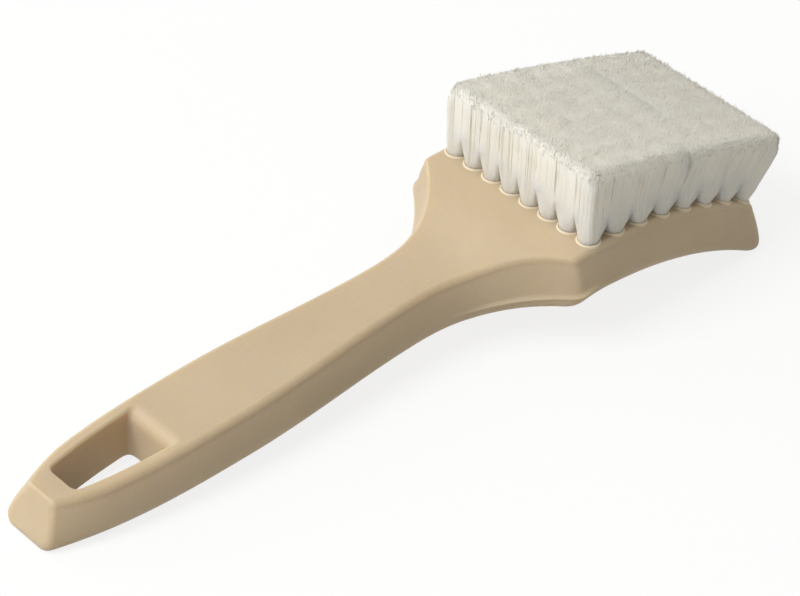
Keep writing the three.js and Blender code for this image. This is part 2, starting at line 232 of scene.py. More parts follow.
# Where the grip_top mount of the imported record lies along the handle
GRIP_MOUNT_FROM_TAIL = 85

# Places along the brush that follow from the sizes above
NOSE_X = HANDLE_LENGTH + HEAD_LENGTH
NECK_X = HANDLE_LENGTH - NECK_TO_WINGS
CREST_X = HANDLE_LENGTH - CREST_TO_WINGS
ARCH_CENTRE_Z = HEAD_RISE - ARCH_RADIUS
UNDER_RADIUS = ARCH_RADIUS - HEAD_THICKNESS
UNDER_BLEND_END = HANDLE_LENGTH + UNDER_BLEND_PAST_WINGS
UNDER_BLEND_START = UNDER_BLEND_END - UNDER_BLEND_LENGTH
UNDER_TAPER = (TAIL_THICKNESS - HANDLE_THICKNESS) / UNDER_BLEND_START
TAIL_LEAN_LENGTH = TAIL_THICKNESS * math.tan(math.radians(TAIL_SLOPE))
NOSE_LEAN_LENGTH = HEAD_THICKNESS * math.tan(math.radians(NOSE_SLOPE))
TAIL_LEAN_REACH = 3 * TAIL_LEAN_LENGTH  # in which the sections come upright
NOSE_LEAN_REACH = 5 * NOSE_LEAN_LENGTH
TUFT_PITCH = (HEAD_WIDTH - 2 * COLUMN_FROM_SIDE) / (TUFTS_PER_ROW - 1)


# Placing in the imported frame


def placing():
    """The brush's own frame, in millimetres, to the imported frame, in metres."""
    mount = next(m for m in frame["record"]["mounts"] if m["name"] == "grip_top")
    tilt = math.atan2(-mount["axis"][0], mount["axis"][2])
    turn = Matrix.Rotation(-tilt, 4, "Y")
    start = Matrix.Translation((-GRIP_MOUNT_FROM_TAIL, 0, 0))
    return Matrix.Translation(mount["pos_m"]) @ turn @ Matrix.Scale(MM, 4) @ start


TO_PACKED = placing()


def new_object(name, points, faces):
    mesh = bpy.data.meshes.new(name)
    mesh.from_pydata(points, [], faces)
    made = bpy.data.objects.new(name, mesh)
    bpy.context.scene.collection.objects.link(made)
    return made


# Curves of the block


def arc_height(radius, x):
    """Height of an arc about the arch's centre, above places along the brush."""
    return ARCH_CENTRE_Z + np.sqrt(np.maximum(radius**2 - (x - CREST_X) ** 2, 0))


def bezier(*points):
    """Samples of a cubic curve, as pairs."""
    a, b, c, d = (np.array(point, float) for point in points)
    t = np.linspace(0, 1, CURVE_SAMPLES)[:, None]
    return a * (1 - t) ** 3 + 3 * b * t * (1 - t) ** 2 + 3 * c * t**2 * (1 - t) + d * t**3


def lerp(a, b, share):
    return a + (b - a) * share


def hump(share):
    """1 in the middle, and 0 at either end."""
    return 4 * share * (1 - share)


def smooth_share(value):
    share = min(max(value, 0), 1)
    return share * share * (3 - 2 * share)


def outline_samples():
    """Half of the block's plan outline, from the tail to the wing corners."""
    flare = np.array((math.cos(math.radians(FLARE_ANGLE)), math.sin(math.radians(FLARE_ANGLE))))
    flare_lead = (HEAD_WIDTH - NECK_WIDTH) * SHOULDER_CURVE_END
    corner = np.array((HANDLE_LENGTH, HEAD_WIDTH / 2))
    grip = bezier(
        (0, TAIL_WIDTH / 2),
        (GRIP_FROM_TAIL * GRIP_CURVE_START, TAIL_WIDTH / 2 + (GRIP_WIDTH - TAIL_WIDTH) * GRIP_CURVE_SWELL),
        (GRIP_FROM_TAIL * GRIP_CURVE_END, GRIP_WIDTH / 2),
        (GRIP_FROM_TAIL, GRIP_WIDTH / 2),
    )
    neck = bezier(
        (GRIP_FROM_TAIL, GRIP_WIDTH / 2),
        (lerp(GRIP_FROM_TAIL, NECK_X, NECK_CURVE_START), GRIP_WIDTH / 2),
        (lerp(GRIP_FROM_TAIL, NECK_X, NECK_CURVE_END), NECK_WIDTH / 2),
        (NECK_X, NECK_WIDTH / 2),
    )
    shoulder = bezier(
        (NECK_X, NECK_WIDTH / 2),
        (NECK_X + NECK_TO_WINGS * SHOULDER_CURVE_START, NECK_WIDTH / 2),
        corner - flare * flare_lead,
        corner,
    )
    wing_start = corner[0] - WING_ROUNDING * flare[0]
    start = np.array((wing_start, np.interp(wing_start, shoulder[:, 0], shoulder[:, 1])))
    end = corner + (WING_ROUNDING, 0)
    # Control points two thirds of the way to the corner make a quadratic curve
    wing = bezier(start, lerp(start, corner, 2 / 3), lerp(end, corner, 2 / 3), end)
    shoulder = shoulder[shoulder[:, 0] < wing_start]
    return np.concatenate((grip[:-1], neck[:-1], shoulder, wing))


OUTLINE = outline_samples()


def top_half_width(x):
    return np.interp(x, OUTLINE[:, 0], OUTLINE[:, 1])


def under_half_width(x):
    """The underside follows the same outline, grown all round by the draft."""
    angles = np.radians(np.arange(-90, 90 + DRAFT_STEP, DRAFT_STEP))
    return max(top_half_width(x + SIDE_DRAFT * np.sin(angles)) + SIDE_DRAFT * np.cos(angles))


TOP_CURVE = bezier(
    (CREST_X - TOP_BLEND_LENGTH, 0),
    (CREST_X - TOP_BLEND_LENGTH * TOP_CURVE_START, 0),
    (CREST_X - TOP_BLEND_LENGTH * TOP_CURVE_END, HEAD_RISE),
    (CREST_X, HEAD_RISE),
)
UNDER_SLOPE = -(UNDER_BLEND_END - CREST_X) / UNDER_RADIUS
UNDER_LEAD = UNDER_BLEND_LENGTH * UNDER_CURVE_START
UNDER_REACH = UNDER_BLEND_LENGTH * UNDER_CURVE_END
UNDER_CURVE = bezier(
    (UNDER_BLEND_START, -HANDLE_THICKNESS),
    (UNDER_BLEND_START + UNDER_LEAD, UNDER_LEAD * UNDER_TAPER - HANDLE_THICKNESS),
    (UNDER_BLEND_END - UNDER_REACH, arc_height(UNDER_RADIUS, UNDER_BLEND_END) - UNDER_REACH * UNDER_SLOPE),
    (UNDER_BLEND_END, arc_height(UNDER_RADIUS, UNDER_BLEND_END)),
)


def top_height(x):
    return np.where(x < CREST_X, np.interp(x, *TOP_CURVE.T), arc_height(ARCH_RADIUS, x))


def under_height(x):
    before = np.minimum(x, UNDER_BLEND_START) * UNDER_TAPER - TAIL_THICKNESS
    blend = np.interp(x, *UNDER_CURVE.T)
    past = arc_height(UNDER_RADIUS, x)
    return np.where(x < UNDER_BLEND_START, before, np.where(x < UNDER_BLEND_END, blend, past))


def top_shift(x):
    """Sections lean with the facet at the tail and with the nose, and stand upright in between."""
    tail_share = max(0, 1 - x / TAIL_LEAN_REACH)
    nose_share = max(0, 1 - (NOSE_X - x) / NOSE_LEAN_REACH)
    return TAIL_LEAN_LENGTH * tail_share - NOSE_LEAN_LENGTH * nose_share


def section_ring(x, side=0, top=0, under=0):
    """A rounded rectangle in a plane that stands on the underside at x, made smaller by three insets."""
    head_x = x + top_shift(x)
    foot = np.array((x, under_height(x)))
    head = np.array((head_x, top_height(head_x)))
    height = np.linalg.norm(head - foot)
    low = under
    high = height - top
    top_half = top_half_width(x) - side
    under_half = under_half_width(x) - side
    bead = BEAD * smooth_share((x - BEAD_FROM_TAIL) / BEAD_BLEND)
    bead *= 1 - smooth_share((x - HANDLE_LENGTH) / BEAD_END)
    wall_limit = (high - low) * EDGE_RADIUS_LIMIT
    top_radius = min(TOP_EDGE_RADIUS, wall_limit, top_half * EDGE_RADIUS_LIMIT)
    under_radius = min(UNDER_EDGE_RADIUS, wall_limit, under_half * EDGE_RADIUS_LIMIT)
    turn = np.radians(np.linspace(0, 90, CORNER_STEPS + 1))
    wall = np.linspace(0, 1, WALL_STEPS + 2)[1:-1] ** WALL_CROWDING
    bulge = WALL_FULLNESS * hump(wall) + bead * np.exp(-(((wall - BEAD_PLACE) / BEAD_SPREAD) ** 2))
    across = np.concatenate((
        under_half - under_radius * (1 - np.sin(turn)),
        lerp(under_half, top_half, wall) + bulge,
        top_half - top_radius * (1 - np.cos(turn)),
    ))
    up = np.concatenate((
        low + under_radius * (1 - np.cos(turn)),
        lerp(low + under_radius, high - top_radius, wall),
        high - top_radius * (1 - np.sin(turn)),
    ))
    across = np.concatenate((across, -across[::-1]))
    up = np.concatenate((up, up[::-1]))
    places = foot + (head - foot) * (up / height)[:, None]
    return np.column_stack((places[:, 0], across, places[:, 1]))


def loft(rings):
    """Points and faces of a closed body over rings with the same number of points."""
    count = len(rings[0])
    faces = []
    for ring in range(len(rings) - 1):
        for side in range(count):
            a = ring * count + side
            b = ring * count + (side + 1) % count
            faces.append((a, b, b + count, a + count))
    last = (len(rings) - 1) * count
    faces.append(tuple(range(count - 1, -1, -1)))
    faces.append(tuple(range(last, last + count)))
    return np.concatenate(rings), faces


def end_rings(tip, towards, rounding):
    """Sections that round off an end of the block, from inside its flat facet inwards."""
    margin = {name: radius + CAP_MARGIN for name, radius in rounding.items()}
    rings = [section_ring(tip, **margin)]
    turns = np.radians(np.linspace(0, 90, END_STEPS + 1))
    depths = {round(radius * (1 - math.cos(turn)), 6) for radius in rounding.values() for turn in turns}
    for depth in sorted(depths):
        insets = {}
        for name, radius in rounding.items():
            left = max(radius - depth, 0)
            insets[name] = radius - math.sqrt(radius**2 - left**2)
        rings.append(section_ring(tip + towards * depth, **insets))
    return rings


def block_loft():
    tail = end_rings(TAIL_INSET, 1, TAIL_ROUNDING)
    nose = end_rings(NOSE_X, -1, NOSE_ROUNDING)
    first = TAIL_INSET + TAIL_ROUNDING["under"] + STATION_STEP
    last = NOSE_X - NOSE_ROUNDING["under"] - STATION_STEP
    fine_from = HANDLE_LENGTH - FINE_BEFORE_WINGS * WING_ROUNDING
    fine_to = HANDLE_LENGTH + FINE_PAST_WINGS * WING_ROUNDING
    stations = np.concatenate((
        np.arange(first, fine_from, STATION_STEP),
        np.arange(fine_from, fine_to, FINE_STATION_STEP),
        np.arange(fine_to, last, STATION_STEP),
    ))
    return loft([*tail, *(section_ring(x) for x in stations), *reversed(nose)])


# Hanging slot


def rounded_corner(before, corner, after):
    """Points of a quadratic curve round a corner of the slot."""
    points = [np.array(point, float) for point in (before, corner, after)]
    samples = []
    for t in np.linspace(0, 1, CORNER_STEPS + 1):
        samples.append(points[0] * (1 - t) ** 2 + 2 * points[1] * t * (1 - t) + points[2] * t**2)
    return samples


def slot_outline(tail_corner, head_corner):
    """Plan of the slot, which keeps an even wall along the handle's outline."""
    start = SLOT_FROM_TAIL
    end = SLOT_FROM_TAIL + SLOT_LENGTH
    tail_x = start + tail_corner
    head_x = end - head_corner

    def half(x):
        return float(top_half_width(x)) - SLOT_WALL

    tail_end = rounded_corner(
        (start, min(tail_corner - half(start), 0)),
        (start, -half(start)),
        (tail_x, -half(tail_x)),
    )
    side = [(x, -half(x)) for x in np.linspace(tail_x, head_x, SLOT_SIDE_STEPS + 2)[1:-1]]
    head_end = rounded_corner(
        (head_x, -half(head_x)),
        (end, -half(end)),
        (end, min(head_corner - half(end), 0)),
    )
    right_side = np.array([*tail_end, *side, *head_end])
    left_side = right_side[::-1] * (1, -1)
    return np.concatenate((right_side, left_side))


def slot_rings():
    """Rings of the slot's cutter, which flares at either end so that the rims come out rounded."""
    plan, under_plan = (slot_outline(*corners) for corners in zip(SLOT_TAIL_CORNERS, SLOT_HEAD_CORNERS))
    along = np.roll(plan, -1, axis=0) - np.roll(plan, 1, axis=0)
    outward = np.column_stack((along[:, 1], -along[:, 0]))
    outward /= np.linalg.norm(outward, axis=1)[:, None]
    facing = np.where(outward[:, 0] > 0, 1, -1) * outward[:, 0] ** 2

    def by_facing(side, head, tail):
        return side + (head - side) * np.maximum(facing, 0) + (tail - side) * np.maximum(-facing, 0)

    slope = np.tan(np.radians(by_facing(SLOT_SIDE_SLOPE, SLOT_HEAD_SLOPE, SLOT_TAIL_SLOPE)))
    rim = by_facing(SLOT_SIDE_RIM, SLOT_HEAD_RIM, SLOT_TAIL_RIM)

    def ring(depth, flare, height):
        share = np.clip(depth / TAIL_THICKNESS, 0, 1)[:, None]
        places = lerp(plan, under_plan, share) + outward * (flare - np.maximum(depth, 0) * slope)[:, None]
        return np.column_stack((places, height(places[:, 0])))

    def from_top(depth, flare):
        return ring(depth, flare, lambda x: -depth)

    def from_underside(lift, flare):
        return ring(TAIL_THICKNESS - lift, flare, lambda x: under_height(x) + lift)

    past = np.full(len(plan), SLOT_OVERRUN)
    turns = np.radians(np.linspace(0, 90, CORNER_STEPS + 1))
    upper = [from_top(rim * (1 - math.cos(turn)), rim * (1 - math.sin(turn))) for turn in turns]
    lower_rim = np.full(len(plan), SLOT_UNDER_RIM)
    lower = []
    for turn in turns:
        lower.append(from_underside(lower_rim * (1 - math.cos(turn)), lower_rim * (1 - math.sin(turn))))
    return [from_underside(-past, lower_rim), *lower, *reversed(upper), from_top(-past, rim)]


# Rows of tufts, at even angles round the arch

FIRST_ROW_ANGLE = math.asin((HANDLE_LENGTH + FIRST_ROW_FROM_WINGS - CREST_X) / ARCH_RADIUS)
LAST_ROW_ANGLE = math.asin((NOSE_X - LAST_ROW_FROM_NOSE - CREST_X) / ARCH_RADIUS)
ROW_STEP = (LAST_ROW_ANGLE - FIRST_ROW_ANGLE) / (TUFT_ROWS - 1)


def row_angle(row):
    return FIRST_ROW_ANGLE + row * ROW_STEP


def row_lean(row):
    return np.radians(lerp(FRONT_LEAN, BACK_LEAN, row / (TUFT_ROWS - 1)))


def row_length(row):
    share = row / (TUFT_ROWS - 1)
    middle_dip = MIDDLE_LENGTH - (FRONT_LENGTH + BACK_LENGTH) / 2
    return lerp(FRONT_LENGTH, BACK_LENGTH, share) + hump(share) * middle_dip


def on_arch(row):
    """Place of a row on the face of the head, seen from the side."""
    angle = row_angle(row)
    return CREST_X + ARCH_RADIUS * np.sin(angle), ARCH_CENTRE_Z + ARCH_RADIUS * np.cos(angle)


def tip_place(row):
    """Place of the trimmed tips of a row, seen from the side. Between rows it runs on smoothly."""
    x, z = on_arch(row)
    lean = row_lean(row)
    return x + row_length(row) * np.sin(lean), z + row_length(row) * np.cos(lean)


def tuft_y(column):
    return (column - (TUFTS_PER_ROW - 1) / 2) * TUFT_PITCH


def tuft_frame(row, column, lean):
    """Base of a tuft on the head's face, with its forward, left and up directions."""
    x, z = on_arch(row)
    base = np.array((x, tuft_y(column), z))
    forward = np.array((math.cos(lean), 0, -math.sin(lean)))
    up = np.array((math.sin(lean), 0, math.cos(lean)))
    return base, forward, np.array((0, 1, 0)), up


def row_names(first_row):
    """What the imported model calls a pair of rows."""
    return f"rows_{first_row + 1}_{first_row + ROWS_PER_PIECE}"


TUFT_PLACES = [(row, column) for row in range(TUFT_ROWS) for column in range(TUFTS_PER_ROW)]


# Holes and their raised rims


def ring_about(base, forward, left, up, radius, height):
    angles = np.linspace(0, 2 * math.pi, HOLE_SIDES, endpoint=False)[:, None]
    return base + radius * (np.cos(angles) * forward + np.sin(angles) * left) + height * up


def merged(bodies):
    """One set of points and faces out of several."""
    points = []
    faces = []
    start = 0
    for body_points, body_faces in bodies:
        points.append(body_points)
        faces.extend(tuple(index + start for index in face) for face in body_faces)
        start += len(body_points)
    return np.concatenate(points), faces


def tuft_hole(row, column):
    directions = tuft_frame(row, column, row_lean(row))
    radius = HOLE_DIAMETER / 2
    return loft([ring_about(*directions, radius, height) for height in (-HOLE_DEPTH, HOLE_DEPTH)])


def raised_rim(row, column):
    directions = tuft_frame(row, column, row_angle(row))
    rings = [ring_about(*directions, HOLE_DIAMETER / 2 + out, height) for out, height in RIM_PROFILE]
    count = HOLE_SIDES
    faces = []
    for ring in range(len(rings)):
        following = (ring + 1) % len(rings)
        for side in range(count):
            beside = (side + 1) % count
            faces.append((
                ring * count + side,
                following * count + side,
                following * count + beside,
                ring * count + beside,
            ))
    return np.concatenate(rings), faces


def combine(target, operation, name, points, faces, material_index=0):
    """Joins a body to the target, or cuts it out. Its faces keep one of the target's materials."""
    tool = new_object(name, points, faces)
    for material in target.data.materials:
        tool.data.materials.append(material)
    tool.data.polygons.foreach_set("material_index", [material_index] * len(faces))
    modifier = target.modifiers.new(name, "BOOLEAN")
    modifier.operation = operation
    modifier.solver = "MANIFOLD"
    modifier.object = tool
    depsgraph = bpy.context.evaluated_depsgraph_get()
    result = bpy.data.meshes.new_from_object(target.evaluated_get(depsgraph))
    target.modifiers.clear()
    target.data = result
    bpy.data.objects.remove(tool)


def make_block(material, rim_material):
    block = new_object("moulded_block", *block_loft())
    block.data.materials.append(material)
    block.data.materials.append(rim_material)
    # The rims take the second material, whose lighter colour is a painted highlight
    rims = [raised_rim(*place) for place in TUFT_PLACES]
    combine(block, "UNION", "rims", *merged(rims), material_index=1)
    cuts = [loft(slot_rings()), *(tuft_hole(*place) for place in TUFT_PLACES)]
    combine(block, "DIFFERENCE", "cuts", *merged(cuts))
    block.data.transform(TO_PACKED)
    block.data.shade_smooth()
    block.data.set_sharp_from_angle(angle=math.radians(SHARP_ANGLE))
    shading = block.modifiers.new("even_shading", "WEIGHTED_NORMAL")
    shading.keep_sharp = True
    return block


# Bristles


def disc_to_square(a, b):
    """Moves points of the unit disc to the unit square, with even density."""
    root = 2 * math.sqrt(2)
    across = a**2 - b**2

    def part(whole, shift):
        return np.sqrt(np.maximum(whole + shift, 0))

    u = (part(2 + across, root * a) - part(2 + across, -root * a)) / 2
    v = (part(2 - across, root * b) - part(2 - across, -root * b)) / 2
    return u, v


class Tuft:
    """The space that a tuft fills, from its round root to the cell of the trimmed face at its tips."""

    def __init__(self, row, column):
        self.row = row
        self.base, self.forward, self.left, self.up = tuft_frame(row, column, row_lean(row))
        self.length = row_length(row)
        self.outer = (row == 0, row == TUFT_ROWS - 1, column == 0, column == TUFTS_PER_ROW - 1)
        edge_rows = EDGE_REACH / (ARCH_RADIUS * ROW_STEP)
        self.reaches = [edge_rows if outer else 0.5 for outer in self.outer[:2]]
        self.reaches += [EDGE_REACH if outer else TUFT_PITCH / 2 for outer in self.outer[2:]]
        self.drops = [EDGE_DROP if outer else 0 for outer in self.outer]
        if column in PARTINGS.get(row - 1, ()):
            self.reaches[0] = PARTED_REACH
            self.drops[0] = PARTED_DROP
        if column in PARTINGS.get(row, ()):
            self.reaches[1] = PARTED_REACH
            self.drops[1] = PARTED_DROP

    def roots(self, a, b):
        radius = (TUFT_DIAMETER - FILAMENT_DIAMETER) / 2
        return self.base + radius * (a[:, None] * self.forward + b[:, None] * self.left)

    def tips(self, a, b):
        along, across = disc_to_square(a, b)
        along = lerp(a, along, TIP_SQUARENESS)
        across = lerp(b, across, TIP_SQUARENESS)
        back, front, right, left = self.reaches
        row = self.row + np.where(along < 0, back, front) * along
        x, z = tip_place(row)
        y = self.base[1] + np.where(across < 0, right, left) * across
        bow = BACK_BOW * (row / TUFT_ROWS).clip(0) ** BOW_POWER * (1 - (2 * y / HEAD_WIDTH) ** 2)
        shares = (-along, along, -across, across)
        drop = sum(amount * np.maximum(share, 0) ** 2 for share, amount in zip(shares, self.drops))
        return np.column_stack((x, y, z)) + bow[:, None] * self.forward - drop[:, None] * self.up

    def points(self, a, b, height):
        """Places at a share of the free length, for points of the unit disc."""
        fill = lerp(1, CORE_FILL, max(height, 0))
        a, b = a * fill, b * fill
        roots = self.roots(a, b)
        spread = self.tips(a, b) - roots - self.length * self.up
        return roots + height * self.length * self.up + min(max(height, 0) / SPREAD_END, 1) * spread


def tuft_core(row, column):
    """The dense middle of a tuft."""
    tuft = Tuft(row, column)
    angle = np.linspace(0, 2 * math.pi, CORE_SIDES, endpoint=False)
    side_rings = [(height, 1) for height in CORE_HEIGHTS]
    top_rings = [(CORE_TOP, width) for width in CORE_TOP_WIDTHS]
    rings = []
    for height, width in (*side_rings, *top_rings):
        rings.append(tuft.points(width * np.cos(angle), width * np.sin(angle), height))
    return loft(rings)


def make_cores(material):
    """The dense middles of all tufts, joined where they run into each other."""
    cores = None
    for start_row, start_column in ((0, 0), (0, 1), (1, 0), (1, 1)):
        apart = []
        for row in range(start_row, TUFT_ROWS, 2):
            for column in range(start_column, TUFTS_PER_ROW, 2):
                apart.append(tuft_core(row, column))
        if cores is None:
            cores = new_object("tuft_cores", *merged(apart))
        else:
            combine(cores, "UNION", "more_cores", *merged(apart))
    cores.data.materials.clear()
    cores.data.materials.append(material)
    cores.data.shade_smooth()
    cores.data.set_sharp_from_angle(angle=math.radians(SHARP_ANGLE))
    return cores


def filaments(rng, tuft, a, b, heights):
    """Fine filaments through points of the unit disc, as points and faces."""
    count = len(a)
    waver = rng.normal(0, FILAMENT_WAVER, (count, 2))
    rise = rng.normal(0, TIP_UNEVENNESS, count) + STRAY_RISE * (rng.random(count) < STRAY_SHARE)
    turns = rng.uniform(0, 2 * math.pi, count)
    corners = turns[:, None] + 2 * math.pi * np.arange(FILAMENT_SIDES) / FILAMENT_SIDES
    circle = np.cos(corners)[:, :, None] * tuft.forward + np.sin(corners)[:, :, None] * tuft.left
    rings = []
    for height in heights:
        share = max(height, 0)
        middle = tuft.points(a, b, height)
        middle = middle + share * (waver[:, :1] * tuft.forward + waver[:, 1:] * tuft.left)
        middle = middle + share**RISE_POWER * rise[:, None] * tuft.up
        thickness = FILAMENT_DIAMETER / 2 * (TIP_TAPER if height == heights[-1] else 1)
        rings.append(middle[:, None, :] + thickness * circle)
    points = np.stack(rings, axis=1).reshape(count, -1, 3)
    faces = loft([ring[0] for ring in rings])[1]
    return merged([(body, faces) for body in points])


def golden_disc(count):
    """Evenly spread points of the unit disc."""
    number = np.arange(count)
    radius = np.sqrt((number + 0.5) / count)
    angle = number * math.pi * (3 - math.sqrt(5))
    return radius * np.cos(angle), radius * np.sin(angle)


def tuft_filaments(rng, row, column):
    """A tuft's filaments: bodies of those round its sides, and one of those at its crown."""
    tuft = Tuft(row, column)
    count = OUTER_SHELL_FILAMENTS if any(tuft.outer) else INNER_SHELL_FILAMENTS
    angle = np.linspace(0, 2 * math.pi, count, endpoint=False)
    angle = angle + rng.uniform(-SHELL_JITTER, SHELL_JITTER, count) * 2 * math.pi / count
    a = (1 - SHELL_DEPTH) * np.cos(angle)
    b = (1 - SHELL_DEPTH) * np.sin(angle)
    free = np.zeros(count, bool)
    for reach, outer in zip((-a, a, -b, b), tuft.outer):
        free |= outer & (reach > FREE_SIDE_REACH)
    crown_a, crown_b = golden_disc(CROWN_FILAMENTS)
    bodies = [filaments(rng, tuft, a[~free], b[~free], HIDDEN_SHELL_HEIGHTS)]
    if free.any():
        bodies.append(filaments(rng, tuft, a[free], b[free], SHELL_HEIGHTS))
    return bodies, filaments(rng, tuft, crown_a / CORE_FILL, crown_b / CORE_FILL, CROWN_HEIGHTS)


def make_filaments(rng, first_row, side_material, tip_material):
    """The filaments of a pair of rows."""
    shells = []
    crowns = []
    for row in range(first_row, first_row + ROWS_PER_PIECE):
        for column in range(TUFTS_PER_ROW):
            shell, crown = tuft_filaments(rng, row, column)
            shells.extend(shell)
            crowns.append(crown)
    strands = new_object(f"tuft_filaments_{row_names(first_row)}", *merged(shells + crowns))
    strands.data.materials.append(side_material)
    strands.data.materials.append(tip_material)
    side_faces = sum(len(faces) for points, faces in shells)
    kinds = np.arange(len(strands.data.polygons)) >= side_faces
    strands.data.polygons.foreach_set("material_index", kinds.astype(int))
    strands.data.shade_smooth()
    return strands


def add_bristles(piece, *replaced):
    """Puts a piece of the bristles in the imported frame, in place of some of its nodes."""
    piece.data.transform(TO_PACKED)
    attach(piece, BODY)
    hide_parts(*replaced)


# Materials


def grey(value):
    return (value, value, value)


class Nodes:
    """Short calls for the nodes of one material or world."""

    def __init__(self, owner):
        owner.use_nodes = True
        self.tree = owner.node_tree
        self.tree.nodes.clear()

    def add(self, kind, **settings):
        node = self.tree.nodes.new(kind)
        for name, value in settings.items():
            setattr(node, name, value)
        return node

    def link(self, output, socket):
        self.tree.links.new(output, socket)

    def noise(self, coordinates, scale, detail):
        node = self.add("ShaderNodeTexNoise")
        node.inputs["Scale"].default_value = scale
        node.inputs["Detail"].default_value = detail
        self.link(coordinates, node.inputs["Vector"])
        return node.outputs["Fac"]

    def ramp(self, value, colours, span=NOISE_SPAN):
        """Runs from one colour to another over a span of the value."""
        node = self.add("ShaderNodeValToRGB")
        for element, position, colour in zip(node.color_ramp.elements, span, colours):
            element.position = position
            element.color = (*colour, 1)
        self.link(value, node.inputs["Fac"])
        return node.outputs["Color"]

    def spread(self, value, low, high):
        """The middle of a noise's range, moved to low and high."""
        node = self.add("ShaderNodeMapRange")
        node.inputs["From Min"].default_value = NOISE_SPAN[0]
        node.inputs["From Max"].default_value = NOISE_SPAN[1]
        node.inputs["To Min"].default_value = low
        node.inputs["To Max"].default_value = high
        self.link(value, node.inputs["Value"])
        return node.outputs["Result"]

    def bump(self, value, depth):
        node = self.add("ShaderNodeBump")
        node.inputs["Strength"].default_value = 1
        node.inputs["Distance"].default_value = depth * MM
        self.link(value, node.inputs["Height"])
        return node.outputs["Normal"]

    def multiply(self, colour, value):
        node = self.add("ShaderNodeMix", data_type="RGBA", blend_type="MULTIPLY")
        node.inputs["Factor"].default_value = 1
        self.link(colour, node.inputs["A"])
        self.link(value, node.inputs["B"])
        return node.outputs["Result"]

    def mix_into_surface(self, shader, share):
        """Gives a second shader a share of the surface."""
        socket = self.tree.get_output_node("ALL").inputs["Surface"]
        first = socket.links[0].from_socket
        mix = self.add("ShaderNodeMixShader")
        mix.inputs["Fac"].default_value = share
        self.link(first, mix.inputs[1])
        self.link(shader, mix.inputs[2])
        self.link(mix.outputs["Shader"], socket)

    def object_places(self):
        return self.add("ShaderNodeTexCoord").outputs["Object"]


def new_surface(name):
    material = bpy.data.materials.new(name)
    nodes = Nodes(material)
    surface = nodes.add("ShaderNodeBsdfPrincipled")
    output = nodes.add("ShaderNodeOutputMaterial")
    nodes.link(surface.outputs["BSDF"], output.inputs["Surface"])
    return material, nodes, surface.inputs


def soak(inputs, share, colour, depth):
    """Lets a share of the light soak into a surface."""
    inputs["Subsurface Weight"].default_value = share
    inputs["Subsurface Radius"].default_value = colour
    inputs["Subsurface Scale"].default_value = depth * MM


def moulded_plastic(name, colours, glow):
    """Satin tan plastic with faint flow marks and a fine moulded grain."""
    material, nodes, inputs = new_surface(name)
    places = nodes.object_places()
    clouds = nodes.noise(places, scale=45, detail=3)
    colour = nodes.ramp(clouds, colours, CLOUD_SPAN)
    speckle = nodes.noise(places, scale=1800, detail=1)
    tone = nodes.ramp(speckle, (grey(SPECKLE_TONE), grey(1)))
    nodes.link(nodes.multiply(colour, tone), inputs["Base Color"])
    gloss = nodes.noise(places, scale=120, detail=4)
    nodes.link(nodes.spread(gloss, low=0.44, high=0.54), inputs["Roughness"])
    grain = nodes.noise(places, scale=900, detail=2)
    nodes.link(nodes.bump(grain, depth=0.02), inputs["Normal"])
    inputs["Specular IOR Level"].default_value = 0.4
    soak(inputs, glow, PLASTIC_SOAK, PLASTIC_SOAK_DEPTH)
    return material


def nylon_filament(name, colours, clearness):
    """Milky nylon, each filament a little different."""
    material, nodes, inputs = new_surface(name)
    chance = nodes.add("ShaderNodeNewGeometry").outputs["Random Per Island"]
    colour = nodes.ramp(chance, colours, FULL_SPAN)
    nodes.link(colour, inputs["Base Color"])
    gloss = nodes.noise(nodes.object_places(), scale=700, detail=2)
    nodes.link(nodes.spread(gloss, low=0.4, high=0.55), inputs["Roughness"])
    through = nodes.add("ShaderNodeBsdfTranslucent")
    nodes.link(colour, through.inputs["Color"])
    nodes.mix_into_surface(through.outputs["BSDF"], clearness)
    return material


def nylon_mass():
    """The dense middle of a tuft, where light soaks from filament to filament."""
    material, nodes, inputs = new_surface("nylon_mass")
    places = nodes.object_places()
    clouds = nodes.noise(places, scale=90, detail=3)
    nodes.link(nodes.ramp(clouds, CORE_COLOURS), inputs["Base Color"])
    gloss = nodes.noise(places, scale=700, detail=2)
    nodes.link(nodes.spread(gloss, low=0.5, high=0.65), inputs["Roughness"])
    soak(inputs, 1, CORE_SOAK, CORE_SOAK_DEPTH)
    return material


def anchor_steel():
    """Drawn steel wire with fine lines."""
    material, nodes, inputs = new_surface("anchor_steel")
    stretch = nodes.add("ShaderNodeMapping")
    stretch.inputs["Scale"].default_value = STEEL_STRETCH
    nodes.link(nodes.object_places(), stretch.inputs["Vector"])
    lines = nodes.noise(stretch.outputs["Vector"], scale=200, detail=3)
    nodes.link(nodes.ramp(lines, STEEL_COLOURS), inputs["Base Color"])
    nodes.link(nodes.spread(lines, low=0.25, high=0.42), inputs["Roughness"])
    inputs["Metallic"].default_value = 1
    return material


# Stage, light and camera


def seen_directly(nodes):
    """1 where a ray from the camera, or one that a shiny or clear surface passes on, looks at this."""
    path = nodes.add("ShaderNodeLightPath")
    total = path.outputs["Is Camera Ray"]
    for name in ("Is Glossy Ray", "Is Transmission Ray"):
        node = nodes.add("ShaderNodeMath", operation="ADD", use_clamp=True)
        nodes.link(total, node.inputs[0])
        nodes.link(path.outputs[name], node.inputs[1])
        total = node.outputs["Value"]
    return total


